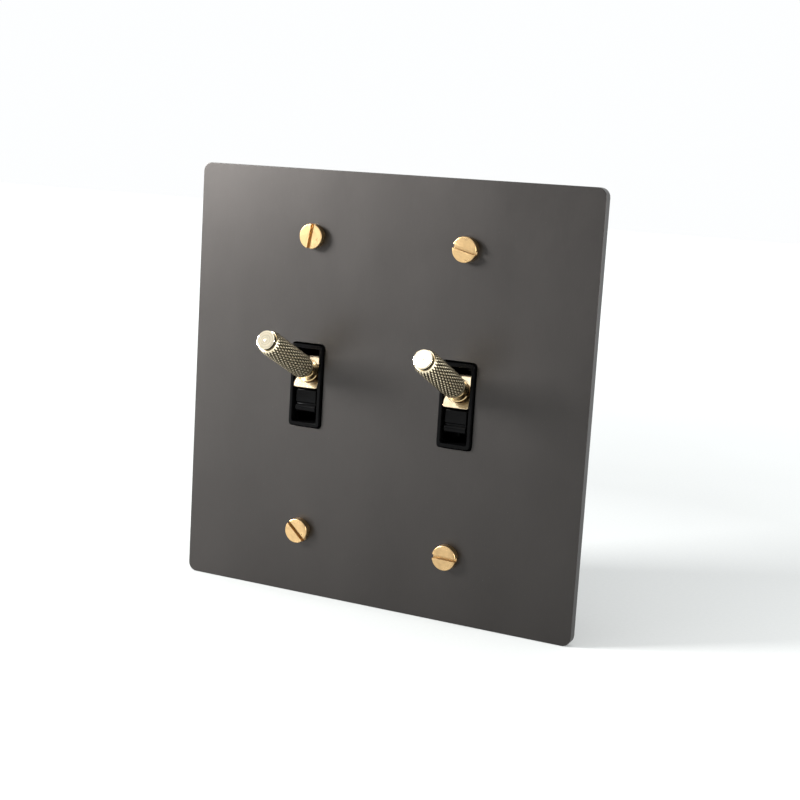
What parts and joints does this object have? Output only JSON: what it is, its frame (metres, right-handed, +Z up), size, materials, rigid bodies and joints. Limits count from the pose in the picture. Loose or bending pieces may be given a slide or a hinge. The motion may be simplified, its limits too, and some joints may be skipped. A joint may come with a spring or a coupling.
{
  "type": "toggle wall switch",
  "caption": "Flush toggle wall switch: square satin metal face plate, coin-slot screws and knurled brass levers on snap-action switch bodies with screw terminals.",
  "frame": {"origin": "centre of the face plate's back face, in the wall plane, on the land between the two strap pockets", "axes": "+X to the right seen from the room, +Y into the wall, +Z up; the levers point to -Y"},
  "size_m": [0.12, 0.0559, 0.12],
  "materials": {
    "smoked_bronze": "satin smoked bronze, very fine brushing",
    "satin_brass": "satin turned brass",
    "pale_brass": "pale polished brass, diamond knurl on the grips",
    "black_moulding": "moulded black, fine satin",
    "zinc_steel": "zinc-plated sheet",
    "terminal_brass": "rolled brass",
    "silver_contact": "silver-faced contact",
    "green_steel": "green passivated steel",
    "fibre": "pressed fibre",
    "spring_steel": "drawn spring wire",
    "cream_nylon": "moulded nylon"
  },
  "bodies": {
    "wall_unit": {"face_plate": "smoked_bronze", "left_mounting_strap": "zinc_steel", "left_bezel_cover": "black_moulding", "left_rear_housing": "black_moulding", "left_body_rivet_0": "zinc_steel", "left_body_rivet_1": "zinc_steel", "left_body_rivet_2": "zinc_steel", "left_body_rivet_3": "zinc_steel", "left_common_terminal": "terminal_brass", "left_switched_terminal": "terminal_brass", "left_fixed_contact": "silver_contact", "left_common_terminal_screw": "terminal_brass", "left_switched_terminal_screw": "terminal_brass", "left_ground_screw": "green_steel", "left_upper_coin_screw": "satin_brass", "left_lower_coin_screw": "satin_brass", "left_upper_screw_retainer": "fibre", "left_lower_screw_retainer": "fibre", "right_mounting_strap": "zinc_steel", "right_bezel_cover": "black_moulding", "right_rear_housing": "black_moulding", "right_body_rivet_0": "zinc_steel", "right_body_rivet_1": "zinc_steel", "right_body_rivet_2": "zinc_steel", "right_body_rivet_3": "zinc_steel", "right_common_terminal": "terminal_brass", "right_switched_terminal": "terminal_brass", "right_fixed_contact": "silver_contact", "right_common_terminal_screw": "terminal_brass", "right_switched_terminal_screw": "terminal_brass", "right_ground_screw": "green_steel", "right_upper_coin_screw": "satin_brass", "right_lower_coin_screw": "satin_brass", "right_upper_screw_retainer": "fibre", "right_lower_screw_retainer": "fibre"},
    "left_lever": {"left_toggle_hub": "black_moulding", "left_lever_block": "pale_brass", "left_lever_stud": "pale_brass", "left_knurled_grip": "pale_brass", "left_grip_cap": "pale_brass", "left_drive_spring": "spring_steel", "left_spring_plunger": "cream_nylon"},
    "left_rocker": {"left_rocker_strip": "terminal_brass", "left_rocker_cradle": "cream_nylon", "left_moving_contact": "silver_contact"},
    "right_lever": {"right_toggle_hub": "black_moulding", "right_lever_block": "pale_brass", "right_lever_stud": "pale_brass", "right_knurled_grip": "pale_brass", "right_grip_cap": "pale_brass", "right_drive_spring": "spring_steel", "right_spring_plunger": "cream_nylon"},
    "right_rocker": {"right_rocker_strip": "terminal_brass", "right_rocker_cradle": "cream_nylon", "right_moving_contact": "silver_contact"}
  },
  "joints": [
    {"name": "left_lever_tilt", "type": "hinge", "parent": "wall_unit", "child": "left_lever", "pos_m": [-0.02302, 0.0065, 0], "axis": [1, 0, 0], "range_deg": [0, 48]},
    {"name": "left_rocker_tilt", "type": "hinge", "parent": "wall_unit", "child": "left_rocker", "pos_m": [-0.02302, 0.0186, 0], "axis": [1, 0, 0], "range_deg": [-12, 0]},
    {"name": "right_lever_tilt", "type": "hinge", "parent": "wall_unit", "child": "right_lever", "pos_m": [0.02302, 0.0065, 0], "axis": [1, 0, 0], "range_deg": [0, 48]},
    {"name": "right_rocker_tilt", "type": "hinge", "parent": "wall_unit", "child": "right_rocker", "pos_m": [0.02302, 0.0186, 0], "axis": [1, 0, 0], "range_deg": [-12, 0]}
  ],
  "couplings": [
    {"joint": "left_rocker_tilt", "follows": "left_lever_tilt", "ratio": -0.25},
    {"joint": "right_rocker_tilt", "follows": "right_lever_tilt", "ratio": -0.25}
  ]
}
